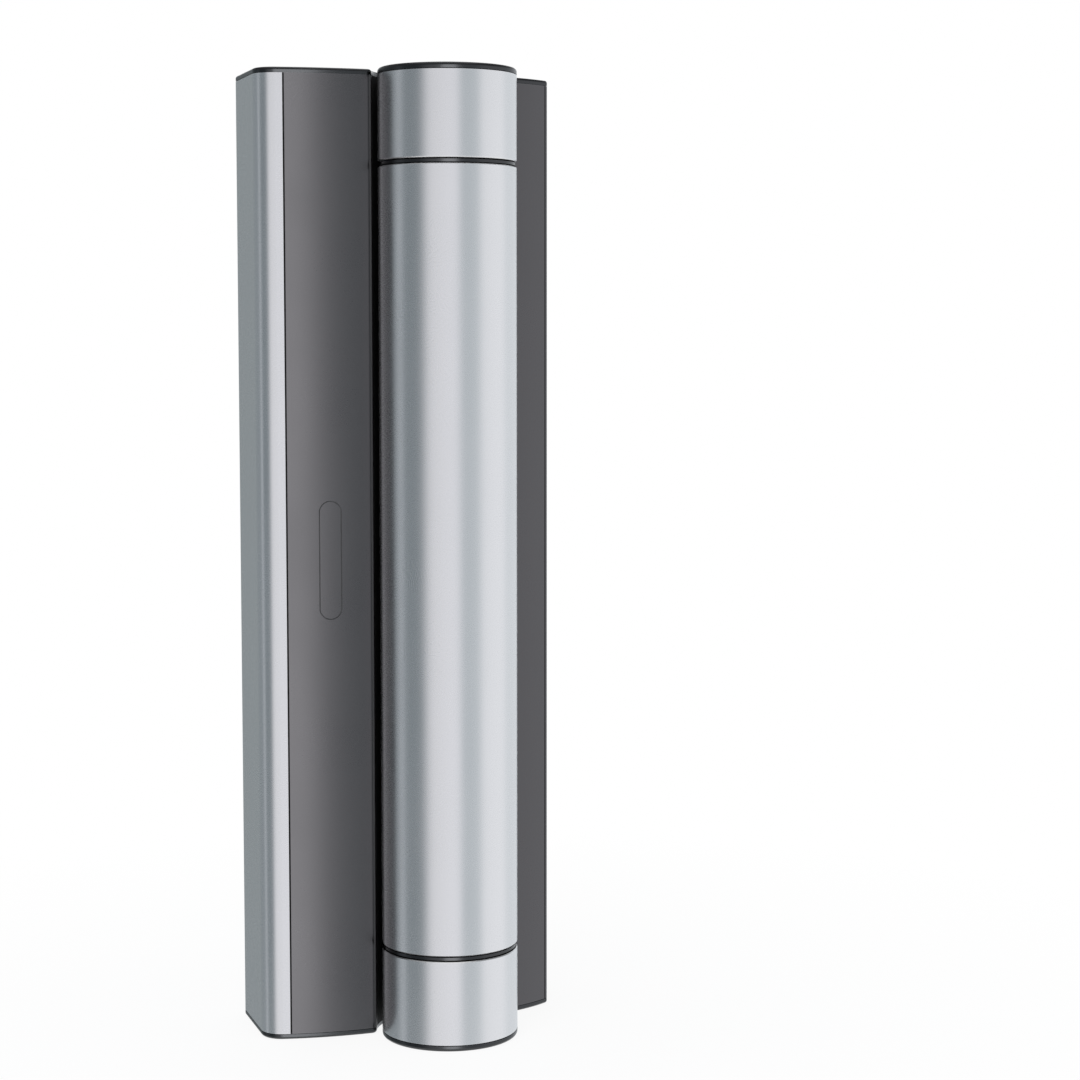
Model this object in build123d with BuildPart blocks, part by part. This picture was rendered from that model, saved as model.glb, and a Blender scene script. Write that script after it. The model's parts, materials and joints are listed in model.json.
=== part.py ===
"""Motorised gate hinge: a post leaf with a geared motor in its barrel, and a gate leaf on two knuckles.

Millimetres. Z is the hinge axis, Z 0 is the underside of the barrel, the leaves lie towards +Y and are
closed. The post leaf is at -X and the gate leaf at +X. The front, which people see, faces -Y.
"""

from build123d import *
import os
from math import acos, cos, pi, radians, sin, tan

os.makedirs("parts", exist_ok=True)

# Barrel
barrel_diameter = 60.0
tube_wall = 4.0
tube_height = 339.6
knuckle_height = 37.1
joint_height = 2.4
barrel_cap_thickness = 2.5
barrel_cap_round = 1.4
edge_chamfer = 0.4

# Leaves, seen from above
leaf_split = 3.0
back_depth = 58.0
barrel_gap = 2.6
leaf_wall = 3.0
back_wall = 4.0
cover_wall = 3.0
seam = 0.5
cover_clearance = 0.12
back_corner_radius = 1.8
cover_tip_radius = 2.6
post_reach = 80.6
post_corner_radius = 10.0
post_seam_x = 69.2
post_crown_x = -40.0
post_crown_depth = 8.5
post_front_radius = 147.0
gate_reach = 56.4
gate_seam_x = 54.6
gate_crown_x = 17.6
gate_crown_depth = 18.8
gate_front_radius = 66.0
gate_corner_radius = 2.0

# Leaves, seen from the front
leaf_end_step = 0.2
leaf_cap_thickness = 2.5
leaf_cap_round = 1.2
cap_line = 0.25
cap_line_depth = 0.5

# Tongue along the cover's edge, in a groove of the leaf
tongue_depth = 1.0
tongue_thickness = 0.9
tongue_length = 2.0
tongue_clearance = 0.1

# Capsule groove on the post cover
capsule_height = 52.0
capsule_width = 10.0
capsule_x = -50.8
capsule_line = 0.5
capsule_depth = 0.4

# Webs that join the barrel's pieces to the leaves
web_inner = 8.0
web_width = 14.0
web_side = 3.0
web_end = 10.0
web_clearance = 0.2

# Fits
fit = 0.05
running = 0.05
ring_running_gap = 0.1

# Fasteners
mount_hole = 9.0
post_mount_x = -54.0
post_mount_spacing = 20.0
post_mount_height = 330.0
gate_mount_x = 43.0
gate_mount_spacing = 110.0
gate_mount_count = 4
web_screw = 5.0
web_screw_length = 13.0
plug_screw_length = 24.0
web_screw_spacing = 120.0
knuckle_screw_spacing = 20.0
cap_screw = 3.0
cap_screw_length = 10.0
port_radius = 4.5
port_inset = 4.0
post_front_port_y = 27.0
inner_port_gap = 5.0

# Plugs, bushes, joint rings
plug_height = 22.0
bush_wall = 2.0
bush_flange_radius = 14.0
bush_flange = 2.0
ring_inner_radius = 15.0
ring_rim = 1.2
ring_recess = 0.6
ring_groove = 2.5

# Shafts
shaft_radius = 9.0
shaft_end_gap = 5.5
key_width = 5.0
key_length = 22.0
cap_spigot = 4.0

# Planetary gears, the same numbers of teeth in both stages
gear_module = 0.875
sun_teeth = 12
planet_teeth = 18
ring_teeth = 48
planet_count = 3
pressure_angle = radians(20)
addendum = 0.75
dedendum = 1.1
backlash = 0.1
planet_pin_radius = 2.5
carrier_radius = 18.5
output_plate = 8.0
output_planet_height = 20.0
input_plate = 6.0
input_planet_height = 16.0
stage_gap = 1.0
gearbox_height = 58.0
gearbox_screw = 2.0
gearbox_screw_length = 34.0
gearbox_screw_count = 4
socket_head_share = 0.85

# Motor, brake and encoder
flange_thickness = 8.0
bearing_radius = 8.0
bearing_width = 6.0
rotor_shaft_radius = 4.0
pinion_passage = 6.6
motor_length = 130.0
motor_clearance = 0.4
can_wall = 1.6
stator_length = 90.0
stator_bore = 14.0
stator_slots = 9
stator_yoke = 3.0
stator_tooth = 5.0
stator_shoe = 2.0
stator_shoe_width = 7.0
winding_height = 7.0
air_gap = 0.8
magnet_thickness = 5.0
end_bell_thickness = 8.0
brake_height = 22.0
brake_bore = 7.0
brake_disc_radius = 20.0
brake_disc_thickness = 4.0
brake_disc_gap = 0.4
encoder_height = 26.0
encoder_wall = 2.0
encoder_magnet_height = 3.0
encoder_magnet_gap = 3.6
encoder_board_radius = 18.0
encoder_boss_radius = 3.0
encoder_boss_circle = 14.0
encoder_boss_height = 8.0
board_thickness = 1.6

# Control board in the post leaf
board_width = 30.0
board_height = 200.0
board_x = -55.0
board_above_lead = 20.0
standoff_height = 10.0
standoff_width = 5.5
board_edge = 5.0
board_screw = 3.0
terminal_width = 8.0
terminal_depth = 10.4
terminal_height = 20.0
sink_width = 20.0
sink_height = 44.0
sink_depth = 14.0
sink_rise = 40.0
fin_gap = 2.4
fin_count = 4
fin_depth = 10.0
capacitor_radius = 7.0
capacitor_height = 17.0
capacitor_spacing = 17.0
capacitor_rise = 85.0
relay_width = 12.0
relay_height = 20.0
relay_depth = 13.0
relay_spacing = 24.0
relay_rise = 130.0
relay_shift = 4.0

# Lead from the motor to the terminal block
lead_diameter = 3.0
lead_start_y = 8.0
lead_depth = 38.0
lead_window = 14.0
lead_window_shift = 2.0
lead_bend_share = 0.45

# Grommet of the supply cable
grommet_height = 100.0
grommet_hole_radius = 7.0
grommet_flange_radius = 9.5
grommet_flange = 1.0
grommet_membrane = 1.0

# Heights that follow from these
knuckle_low_z = barrel_cap_thickness
ring_low_z = knuckle_low_z + knuckle_height
tube_z = ring_low_z + joint_height
ring_high_z = tube_z + tube_height
knuckle_high_z = ring_high_z + joint_height
cap_high_z = knuckle_high_z + knuckle_height
hinge_height = cap_high_z + barrel_cap_thickness
leaf_low_z = leaf_end_step + leaf_cap_thickness
leaf_high_z = hinge_height - leaf_low_z
middle_z = hinge_height / 2

gearbox_z = tube_z + plug_height
output_plate_z = gearbox_z + stage_gap
output_planet_z = output_plate_z + output_plate + stage_gap
input_plate_z = output_planet_z + output_planet_height + stage_gap
input_planet_z = input_plate_z + input_plate + stage_gap
flange_z = gearbox_z + gearbox_height
motor_z = flange_z + flange_thickness
end_bell_z = motor_z + motor_length
brake_z = end_bell_z + end_bell_thickness
encoder_z = brake_z + brake_height
upper_plug_z = ring_high_z - plug_height
stator_z = motor_z + (motor_length - stator_length) / 2
encoder_magnet_z = encoder_z + brake_disc_gap + brake_disc_thickness + encoder_magnet_gap
key_z = knuckle_low_z + (knuckle_height - key_length) / 2
lead_z = (encoder_z + encoder_height + upper_plug_z) / 2
board_low = lead_z + board_above_lead - board_height

# Plan sizes that follow from these
barrel_radius = barrel_diameter / 2
tube_bore = barrel_radius - tube_wall
saddle_radius = barrel_radius + barrel_gap
back_inside = back_depth - back_wall
web_outer = web_inner + web_width
web_middle = web_inner + web_width / 2
channel_width = web_width - 2 * web_side
post_front_centre = (post_crown_x, post_crown_depth + post_front_radius)
gate_front_centre = (gate_crown_x, gate_crown_depth + gate_front_radius)
orbit_radius = gear_module * (sun_teeth + planet_teeth) / 2
ring_gear_root = gear_module * (ring_teeth / 2 + dedendum)
gearbox_screw_circle = (ring_gear_root + tube_bore - fit) / 2
motor_radius = tube_bore - motor_clearance
post_ports = [
    (-(post_reach - leaf_wall - port_inset), back_inside - port_inset),
    (-(post_reach - leaf_wall - port_inset), post_front_port_y),
    (-(web_outer + inner_port_gap), back_inside - port_inset),
]
gate_ports = [
    (gate_reach - leaf_wall - port_inset, back_inside - port_inset),
    (web_outer + inner_port_gap, back_inside - port_inset),
]


def save(builder, name):
    """Label a finished piece and write it."""
    builder.part.label = name
    export_step(builder.part, f"parts/{name}.step")


def facing(x, y, z, direction):
    """A place on a face, with its own Z along the given direction and its own X along X."""
    return Plane(origin=(x, y, z), x_dir=(1, 0, 0), z_dir=direction)


# Outlines of the leaves, seen from above


def post_outline():
    """Whole outline of the post leaf: side, rounded corner, crowned front, hollow round the barrel."""
    with BuildSketch() as outline:
        with Locations((-(post_reach + leaf_split) / 2, back_depth / 2)):
            Rectangle(post_reach - leaf_split, back_depth)
        with Locations(post_front_centre):
            Circle(post_front_radius, mode=Mode.INTERSECT)
        Circle(saddle_radius, mode=Mode.SUBTRACT)
        side = outline.vertices().group_by(Axis.X)[0]
        fillet(side.sort_by(Axis.Y)[0], radius=post_corner_radius)
        fillet(outline.vertices().sort_by(Axis.Y)[0], radius=cover_tip_radius)
        fillet(outline.vertices().group_by(Axis.Y)[-1], radius=back_corner_radius)
    return outline.sketch


def gate_outline():
    """Whole outline of the gate leaf."""
    with BuildSketch() as outline:
        with Locations(((gate_reach + leaf_split) / 2, back_depth / 2)):
            Rectangle(gate_reach - leaf_split, back_depth)
        with Locations(gate_front_centre):
            Circle(gate_front_radius, mode=Mode.INTERSECT)
        Circle(saddle_radius, mode=Mode.SUBTRACT)
        side = outline.vertices().group_by(Axis.X)[-1]
        fillet(side.sort_by(Axis.Y)[0], radius=gate_corner_radius)
        fillet(outline.vertices().sort_by(Axis.Y)[0], radius=cover_tip_radius)
        fillet(outline.vertices().group_by(Axis.Y)[-1], radius=back_corner_radius)
    return outline.sketch


def inset(outline, amount):
    """The outline drawn in by an amount all round."""
    with BuildSketch() as inner:
        add(outline)
        offset(amount=-amount, kind=Kind.INTERSECTION)
    return inner.sketch


def cavity(outline):
    """Inside of a leaf: its outline less the walls, with a thicker wall at the back."""
    reach = 2 * max(post_reach, gate_reach)
    with BuildSketch() as inside:
        add(inset(outline, leaf_wall))
        with Locations((0, back_inside)):
            Rectangle(2 * reach, back_wall, align=(Align.CENTER, Align.MIN), mode=Mode.SUBTRACT)
    return inside.sketch


def front_zone(centre, front_radius, far_x, near_x, extra):
    """The strip in front of a leaf's crowned front wall that the cover fills, widened by extra."""
    low, high = sorted((far_x, near_x))
    with BuildSketch() as zone:
        with Locations(((low + high) / 2, 0)):
            Rectangle(high - low, back_inside, align=(Align.CENTER, Align.MIN))
        with Locations(centre):
            Circle(front_radius - cover_wall - extra, mode=Mode.SUBTRACT)
    return zone.sketch


def tongue_strip(centre, front_radius, far_x, near_x, extra):
    """The cover's tongue, or with extra the groove for it."""
    low, high = sorted((far_x, near_x))
    outer = front_radius - tongue_depth + extra
    with BuildSketch() as strip:
        with Locations(centre):
            Circle(outer)
            Circle(outer - tongue_thickness - 2 * extra, mode=Mode.SUBTRACT)
        with Locations(((low + high) / 2, 0)):
            Rectangle(high - low, back_inside, align=(Align.CENTER, Align.MIN), mode=Mode.INTERSECT)
    return strip.sketch


def leaf_profile(outline, ports, zone):
    """Section of an extruded leaf: walls and screw ports, open where the cover sits."""
    with BuildSketch() as profile:
        add(outline)
        add(cavity(outline), mode=Mode.SUBTRACT)
        with Locations(*ports):
            Circle(port_radius)
            Circle(cap_screw / 2 + fit, mode=Mode.SUBTRACT)
        add(zone, mode=Mode.SUBTRACT)
    return profile.sketch


# Screws, drawn down from the place of the head's top face


def countersunk_screw(size, length):
    """Countersunk screw with a hexagon socket."""
    down = (Align.CENTER, Align.CENTER, Align.MAX)
    Cylinder(size / 2, length, align=down)
    Cone(size / 2, size, size / 2, align=down)
    socket_depth = size / 3
    Cylinder(size / 3, socket_depth, align=down, mode=Mode.SUBTRACT)


def socket_screw(size, length):
    """Cylinder head screw with a socket, standing on its seat: the place is the seat."""
    Cylinder(size / 2, length, align=(Align.CENTER, Align.CENTER, Align.MAX))
    Cylinder(size * socket_head_share, size, align=(Align.CENTER, Align.CENTER, Align.MIN))


def web_screw_heights():
    """Heights of the screws that hold the tube's web to the post leaf."""
    return [middle_z - web_screw_spacing / 2, middle_z + web_screw_spacing / 2]


def plug_heights():
    """Heights of the screws that hold the two plugs."""
    return [tube_z + plug_height / 2, upper_plug_z + plug_height / 2]


def knuckle_screw_heights():
    """Heights of the screws that hold the knuckles to the gate leaf."""
    heights = []
    for middle in (knuckle_low_z + knuckle_height / 2, knuckle_high_z + knuckle_height / 2):
        heights += [middle - knuckle_screw_spacing / 2, middle + knuckle_screw_spacing / 2]
    return heights


# Post leaf


def make_post_housing():
    """Aluminium housing: side, front strip, back and the hollow wall round the barrel."""
    zone = front_zone(
        post_front_centre, post_front_radius, -post_seam_x - seam, 0, cover_clearance
    )
    groove = tongue_strip(
        post_front_centre,
        post_front_radius,
        -post_seam_x - tongue_length - tongue_clearance,
        -post_seam_x,
        tongue_clearance,
    )
    web_x = -web_middle
    with BuildPart() as post_housing:
        with BuildSketch(Plane.XY.offset(leaf_low_z)):
            add(leaf_profile(post_outline(), post_ports, zone))
            add(groove, mode=Mode.SUBTRACT)
        extrude(amount=leaf_high_z - leaf_low_z)
        with BuildSketch(Plane.XY.offset(tube_z - web_clearance)):
            with Locations((web_x, back_inside)):
                Rectangle(
                    web_width + 2 * web_clearance, back_inside, align=(Align.CENTER, Align.MAX)
                )
        extrude(amount=tube_height + 2 * web_clearance, mode=Mode.SUBTRACT)
        mount_plane = facing(post_mount_x, back_depth, middle_z, (0, 1, 0))
        with Locations(mount_plane):
            with GridLocations(post_mount_spacing, post_mount_height, 2, 2):
                Hole(mount_hole / 2, depth=2 * back_wall)
        for height in web_screw_heights() + plug_heights():
            with Locations(facing(web_x, back_depth, height, (0, 1, 0))):
                CounterSinkHole(
                    web_screw / 2 + fit,
                    web_screw + fit,
                    depth=2 * back_wall,
                    counter_sink_angle=90,
                )
        with Locations(facing(post_mount_x, back_depth, grommet_height, (0, 1, 0))):
            CounterBoreHole(
                grommet_hole_radius, grommet_flange_radius, grommet_flange, depth=2 * back_wall
            )
    save(post_housing, "post_housing")


def make_capsule_groove():
    """The thin groove in the cover's front face, as deep everywhere."""
    with BuildPart() as capsule_groove:
        with BuildSketch(facing(capsule_x, 0, middle_z, (0, 1, 0))):
            SlotOverall(capsule_height, capsule_width, rotation=90)
            SlotOverall(
                capsule_height - 2 * capsule_line,
                capsule_width - 2 * capsule_line,
                rotation=90,
                mode=Mode.SUBTRACT,
            )
        extrude(amount=back_depth)
        with BuildSketch(Plane.XY.offset(leaf_low_z)):
            with Locations(post_front_centre):
                Circle(post_front_radius)
                Circle(post_front_radius - capsule_depth, mode=Mode.SUBTRACT)
        extrude(amount=leaf_high_z - leaf_low_z, mode=Mode.INTERSECT)
    return capsule_groove.part


def make_post_cover():
    """Dark front cover of the post leaf, with its tongue and the capsule groove."""
    capsule_groove = make_capsule_groove()
    with BuildPart() as post_cover:
        with BuildSketch(Plane.XY.offset(leaf_low_z)):
            add(post_outline())
            add(
                front_zone(post_front_centre, post_front_radius, -post_seam_x, 0, 0),
                mode=Mode.INTERSECT,
            )
            add(
                tongue_strip(
                    post_front_centre,
                    post_front_radius,
                    -post_seam_x - tongue_length,
                    -post_seam_x + tongue_length,
                    0,
                )
            )
        extrude(amount=leaf_high_z - leaf_low_z)
        add(capsule_groove, mode=Mode.SUBTRACT)
    save(post_cover, "post_cover")


def make_leaf_cap(name, outline, ports, top):
    """End plate of a leaf: soft outer edge, fine line where it meets the leaf, screw holes."""
    low = leaf_high_z if top else leaf_end_step
    outer_face = Axis.Z if top else -Axis.Z
    seat = low + leaf_cap_thickness if top else low
    outward = (0, 0, 1) if top else (0, 0, -1)
    with BuildPart() as leaf_cap:
        with BuildSketch(Plane.XY.offset(low)):
            add(outline)
        extrude(amount=leaf_cap_thickness)
        fillet(leaf_cap.faces().sort_by(outer_face)[-1].edges(), radius=leaf_cap_round)
        line_low = low if top else low + leaf_cap_thickness - cap_line
        with BuildSketch(Plane.XY.offset(line_low)):
            add(outline)
            add(inset(outline, cap_line_depth), mode=Mode.SUBTRACT)
        extrude(amount=cap_line, mode=Mode.SUBTRACT)
        for x, y in ports:
            with Locations(facing(x, y, seat, outward)):
                CounterSinkHole(
                    cap_screw / 2 + fit,
                    cap_screw + fit,
                    depth=2 * leaf_cap_thickness,
                    counter_sink_angle=90,
                )
    save(leaf_cap, name)


def make_cap_screws(name, ports):
    """Countersunk screws of both caps of a leaf."""
    with BuildPart() as cap_screws:
        for x, y in ports:
            with Locations(facing(x, y, leaf_high_z + leaf_cap_thickness, (0, 0, 1))):
                countersunk_screw(cap_screw, cap_screw_length)
            with Locations(facing(x, y, leaf_end_step, (0, 0, -1))):
                countersunk_screw(cap_screw, cap_screw_length)
    save(cap_screws, name)


# Barrel, post side


def make_barrel_tube():
    """Middle of the barrel: a tube with a hollow web that reaches the leaf's back wall."""
    with BuildPart() as barrel_tube:
        with BuildSketch(Plane.XY.offset(tube_z)):
            Circle(barrel_radius)
            with Locations((-web_middle, back_inside)):
                Rectangle(web_width, back_inside, align=(Align.CENTER, Align.MAX))
            Circle(tube_bore, mode=Mode.SUBTRACT)
            with Locations((-web_middle, back_inside - web_end)):
                Rectangle(
                    channel_width,
                    back_inside - web_end,
                    align=(Align.CENTER, Align.MAX),
                    mode=Mode.SUBTRACT,
                )
        extrude(amount=tube_height)
        outside = barrel_tube.edges().filter_by(GeomType.CIRCLE)
        outside = outside.filter_by(lambda edge: abs(edge.radius - barrel_radius) < fit)
        chamfer(outside, length=edge_chamfer)
        for height in web_screw_heights() + plug_heights():
            with Locations(facing(-web_middle, back_inside, height, (0, 1, 0))):
                Hole(web_screw / 2 + fit, depth=web_end)
        window = (-web_outer, lead_depth - lead_window_shift, lead_z)
        with BuildSketch(Plane(origin=window, x_dir=(0, 1, 0), z_dir=(1, 0, 0))):
            SlotOverall(lead_window, 2 * lead_diameter)
        extrude(amount=web_side, mode=Mode.SUBTRACT)
    save(barrel_tube, "barrel_tube")


def make_web_screws(name, heights, length, x):
    """Countersunk screws through a leaf's back wall into a web."""
    with BuildPart() as screws:
        for height in heights:
            with Locations(facing(x, back_depth, height, (0, 1, 0))):
                countersunk_screw(web_screw, length)
    save(screws, name)


def make_plug(name, low, bush_up):
    """End plug of the tube: bore for a bush, and a key that stands in the web's channel."""
    key_end = back_inside - web_end
    with BuildPart() as plug:
        with BuildSketch(Plane.XY.offset(low)):
            Circle(tube_bore - fit)
            with Locations((-web_middle, key_end - web_clearance)):
                Rectangle(
                    channel_width - 2 * web_clearance,
                    key_end - web_clearance,
                    align=(Align.CENTER, Align.MAX),
                )
            Circle(shaft_radius + running + bush_wall + fit, mode=Mode.SUBTRACT)
        extrude(amount=plug_height)
        with Locations(facing(-web_middle, back_inside, low + plug_height / 2, (0, 1, 0))):
            Hole(web_screw / 2 + fit, depth=web_end + plug_screw_length)
        if not bush_up:
            with Locations(facing(0, 0, low, (0, 0, -1))):
                with PolarLocations(gearbox_screw_circle, gearbox_screw_count, start_angle=45):
                    CounterBoreHole(
                        gearbox_screw / 2 + fit,
                        gearbox_screw * socket_head_share + fit,
                        gearbox_screw,
                        depth=2 * plug_height,
                    )
    save(plug, name)


def make_bush(name, mouth, up):
    """Flanged bronze bush, with its flange at the tube's end."""
    with BuildPart() as bush:
        with Locations(facing(0, 0, mouth, (0, 0, 1 if up else -1))):
            Cylinder(
                shaft_radius + running + bush_wall,
                plug_height,
                align=(Align.CENTER, Align.CENTER, Align.MAX),
            )
            Cylinder(
                bush_flange_radius, bush_flange, align=(Align.CENTER, Align.CENTER, Align.MIN)
            )
            Cylinder(shaft_radius + running, 3 * plug_height, mode=Mode.SUBTRACT)
    save(bush, name)


def make_joint_ring(name, low):
    """Ring between the tube and a knuckle: a thin rim with a deep groove above and below it."""
    height = joint_height - ring_running_gap
    groove = (height - ring_rim) / 2
    rim_radius = barrel_radius - ring_recess
    corner = (Align.MIN, Align.MIN)
    with BuildPart() as joint_ring:
        with BuildSketch(Plane.XZ):
            with Locations((0, low)):
                Rectangle(rim_radius - ring_groove, height, align=corner)
            with Locations((0, low + groove)):
                Rectangle(rim_radius, ring_rim, align=corner)
            with Locations((0, low)):
                Rectangle(ring_inner_radius, height, align=corner, mode=Mode.SUBTRACT)
        revolve(axis=Axis.Z)
    save(joint_ring, name)


# Gears


def involute(angle):
    return tan(angle) - angle


def gear_face(teeth, tip, root, thinning, turn):
    """Toothed outline with straight flanks between involute corners; turn counts teeth."""
    pitch_radius = teeth * gear_module / 2
    base_radius = pitch_radius * cos(pressure_angle)
    points = []
    for tooth in range(teeth):
        middle = 2 * pi * (tooth + turn) / teeth
        for radius, side in ((root, -1), (tip, -1), (tip, 1), (root, 1)):
            flank = involute(acos(min(1, base_radius / radius)))
            half = pi / (2 * teeth) - thinning / pitch_radius + involute(pressure_angle) - flank
            angle = middle + side * half
            points.append((radius * cos(angle), radius * sin(angle)))
    with BuildSketch() as face:
        with BuildLine():
            Polyline(*points, close=True)
        make_face()
    return face.sketch


def outer_gear(teeth):
    """Face of a sun or a planet. A sun has a tooth on +X, a planet a gap on +X and on -X."""
    pitch_radius = teeth * gear_module / 2
    tip = pitch_radius + addendum * gear_module
    root = pitch_radius - dedendum * gear_module
    turn = 0 if teeth == sun_teeth else 0.5
    return gear_face(teeth, tip, root, backlash / 2, turn)


def ring_gap_face():
    """The hollow inside the ring gear, with a tooth of the ring on +X."""
    pitch_radius = ring_teeth * gear_module / 2
    tip = pitch_radius + dedendum * gear_module
    root = pitch_radius - addendum * gear_module
    return gear_face(ring_teeth, tip, root, -backlash / 2, 0.5)


def make_ring_gear():
    """Ring gear of both stages, screwed to the lower plug."""
    with BuildPart() as ring_gear:
        with BuildSketch(Plane.XY.offset(gearbox_z)):
            Circle(tube_bore - fit)
            add(ring_gap_face(), mode=Mode.SUBTRACT)
            with PolarLocations(gearbox_screw_circle, gearbox_screw_count, start_angle=45):
                Circle(gearbox_screw / 2 + fit, mode=Mode.SUBTRACT)
        extrude(amount=gearbox_height)
    save(ring_gear, "ring_gear")


def make_gearbox_screws():
    """Socket screws from the lower plug into the ring gear."""
    with BuildPart() as gearbox_screws:
        with Locations(facing(0, 0, tube_z + gearbox_screw, (0, 0, -1))):
            with PolarLocations(gearbox_screw_circle, gearbox_screw_count, start_angle=45):
                socket_screw(gearbox_screw, gearbox_screw_length)
    save(gearbox_screws, "gearbox_screws")


def make_output_carrier():
    """Output carrier: plate with pin holes and the shaft down into the lower knuckle."""
    shaft_low = knuckle_low_z + shaft_end_gap
    with BuildPart() as output_carrier:
        with BuildSketch(Plane.XY.offset(output_plate_z)):
            Circle(carrier_radius)
            with PolarLocations(orbit_radius, planet_count):
                Circle(planet_pin_radius + fit, mode=Mode.SUBTRACT)
        extrude(amount=output_plate)
        with BuildSketch(Plane.XY.offset(shaft_low)):
            Circle(shaft_radius)
        extrude(amount=output_plate_z - shaft_low)
        with BuildSketch(Plane.XY.offset(key_z)):
            with Locations((0, -shaft_radius)):
                Rectangle(key_width + 2 * fit, key_width + 2 * fit)
        extrude(amount=key_length, mode=Mode.SUBTRACT)
    save(output_carrier, "output_carrier")


def make_input_carrier():
    """First stage carrier: plate with pin holes and the second sun under it."""
    with BuildPart() as input_carrier:
        with BuildSketch(Plane.XY.offset(input_plate_z)):
            Circle(carrier_radius)
            with PolarLocations(orbit_radius, planet_count):
                Circle(planet_pin_radius + fit, mode=Mode.SUBTRACT)
        extrude(amount=input_plate)
        with BuildSketch(Plane.XY.offset(output_planet_z)):
            add(outer_gear(sun_teeth))
        extrude(amount=input_plate_z - output_planet_z)
    save(input_carrier, "input_carrier")


def make_planet_pins(name, plate_z, plate, planet_height):
    """The three pins of a carrier."""
    with BuildPart() as planet_pins:
        with BuildSketch(Plane.XY.offset(plate_z)):
            with PolarLocations(orbit_radius, planet_count):
                Circle(planet_pin_radius)
        extrude(amount=plate + stage_gap + planet_height)
    save(planet_pins, name)


def make_planets(stage, low, height):
    """The three planets of a stage, one piece each."""
    for number in range(planet_count):
        place = Plane.XY.offset(low).rotated((0, 0, 360 * number / planet_count))
        with BuildPart() as planet:
            with BuildSketch(place):
                with Locations((orbit_radius, 0)):
                    add(outer_gear(planet_teeth))
                    Circle(planet_pin_radius + running, mode=Mode.SUBTRACT)
            extrude(amount=height)
        save(planet, f"{stage}_planet_{number + 1}")


# Motor, brake and encoder


def make_motor_flange():
    """Plate between the ring gear and the motor, with a seat for the front bearing."""
    with BuildPart() as motor_flange:
        with BuildSketch(Plane.XY.offset(flange_z)):
            Circle(tube_bore - fit)
        extrude(amount=flange_thickness)
        with Locations((0, 0, motor_z)):
            CounterBoreHole(
                pinion_passage, bearing_radius + fit, bearing_width, depth=2 * flange_thickness
            )
    save(motor_flange, "motor_flange")


def make_motor_bearings():
    """Ball bearings of the rotor, each as one closed ring."""
    with BuildPart() as motor_bearings:
        with Locations((0, 0, motor_z - bearing_width), (0, 0, end_bell_z)):
            Cylinder(
                bearing_radius, bearing_width, align=(Align.CENTER, Align.CENTER, Align.MIN)
            )
            Cylinder(rotor_shaft_radius + running, 3 * bearing_width, mode=Mode.SUBTRACT)
    save(motor_bearings, "motor_bearings")


def make_motor_can():
    with BuildPart() as motor_can:
        with BuildSketch(Plane.XY.offset(motor_z)):
            Circle(motor_radius)
            Circle(motor_radius - can_wall, mode=Mode.SUBTRACT)
        extrude(amount=motor_length)
    save(motor_can, "motor_can")


def make_stator():
    """Laminated stator: a yoke and T-shaped teeth round the rotor."""
    outer = motor_radius - can_wall - fit
    shoe_middle = stator_bore + stator_shoe / 2
    with BuildPart() as stator:
        with BuildSketch(Plane.XY.offset(stator_z)):
            Circle(outer)
            Circle(outer - stator_yoke, mode=Mode.SUBTRACT)
            with PolarLocations(shoe_middle, stator_slots):
                Rectangle(
                    outer - stator_yoke / 2 - shoe_middle,
                    stator_tooth,
                    align=(Align.MIN, Align.CENTER),
                )
                Rectangle(stator_shoe, stator_shoe_width)
            Circle(stator_bore, mode=Mode.SUBTRACT)
        extrude(amount=stator_length)
    save(stator, "stator")


def make_end_windings():
    """End turns of the coils, as one closed ring at each end of the stator."""
    outer = motor_radius - can_wall - stator_yoke
    with BuildPart() as end_windings:
        for low in (stator_z - winding_height, stator_z + stator_length):
            with BuildSketch(Plane.XY.offset(low)):
                Circle(outer)
                Circle(stator_bore + stator_shoe, mode=Mode.SUBTRACT)
            extrude(amount=winding_height)
    save(end_windings, "end_windings")


def make_rotor_shaft():
    """Rotor shaft: first sun at its foot, thick under the magnets, thin end through the brake."""
    core_radius = stator_bore - air_gap - magnet_thickness
    core_z = stator_z
    with BuildPart() as rotor_shaft:
        with BuildSketch(Plane.XY.offset(input_planet_z)):
            add(outer_gear(sun_teeth))
        extrude(amount=flange_z + flange_thickness - bearing_width - input_planet_z)
        with BuildSketch(Plane.XY.offset(input_planet_z)):
            Circle(rotor_shaft_radius)
        extrude(amount=encoder_magnet_z - input_planet_z)
        with BuildSketch(Plane.XY.offset(core_z)):
            Circle(core_radius)
        extrude(amount=stator_length)
    save(rotor_shaft, "rotor_shaft")


def make_rotor_magnets():
    outer = stator_bore - air_gap
    with BuildPart() as rotor_magnets:
        with BuildSketch(Plane.XY.offset(stator_z)):
            Circle(outer)
            Circle(outer - magnet_thickness + fit, mode=Mode.SUBTRACT)
        extrude(amount=stator_length)
    save(rotor_magnets, "rotor_magnets")


def make_end_bell():
    with BuildPart() as end_bell:
        with BuildSketch(Plane.XY.offset(end_bell_z)):
            Circle(motor_radius)
        extrude(amount=end_bell_thickness)
        with Locations(facing(0, 0, end_bell_z, (0, 0, -1))):
            CounterBoreHole(
                rotor_shaft_radius + motor_clearance,
                bearing_radius + fit,
                bearing_width,
                depth=2 * end_bell_thickness,
            )
    save(end_bell, "motor_end_bell")


def make_brake_body():
    """Coil body of the holding brake, a thick ring round the rotor shaft."""
    with BuildPart() as brake_body:
        with BuildSketch(Plane.XY.offset(brake_z)):
            Circle(motor_radius)
            Circle(brake_bore, mode=Mode.SUBTRACT)
        extrude(amount=brake_height)
    save(brake_body, "brake_body")


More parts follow.
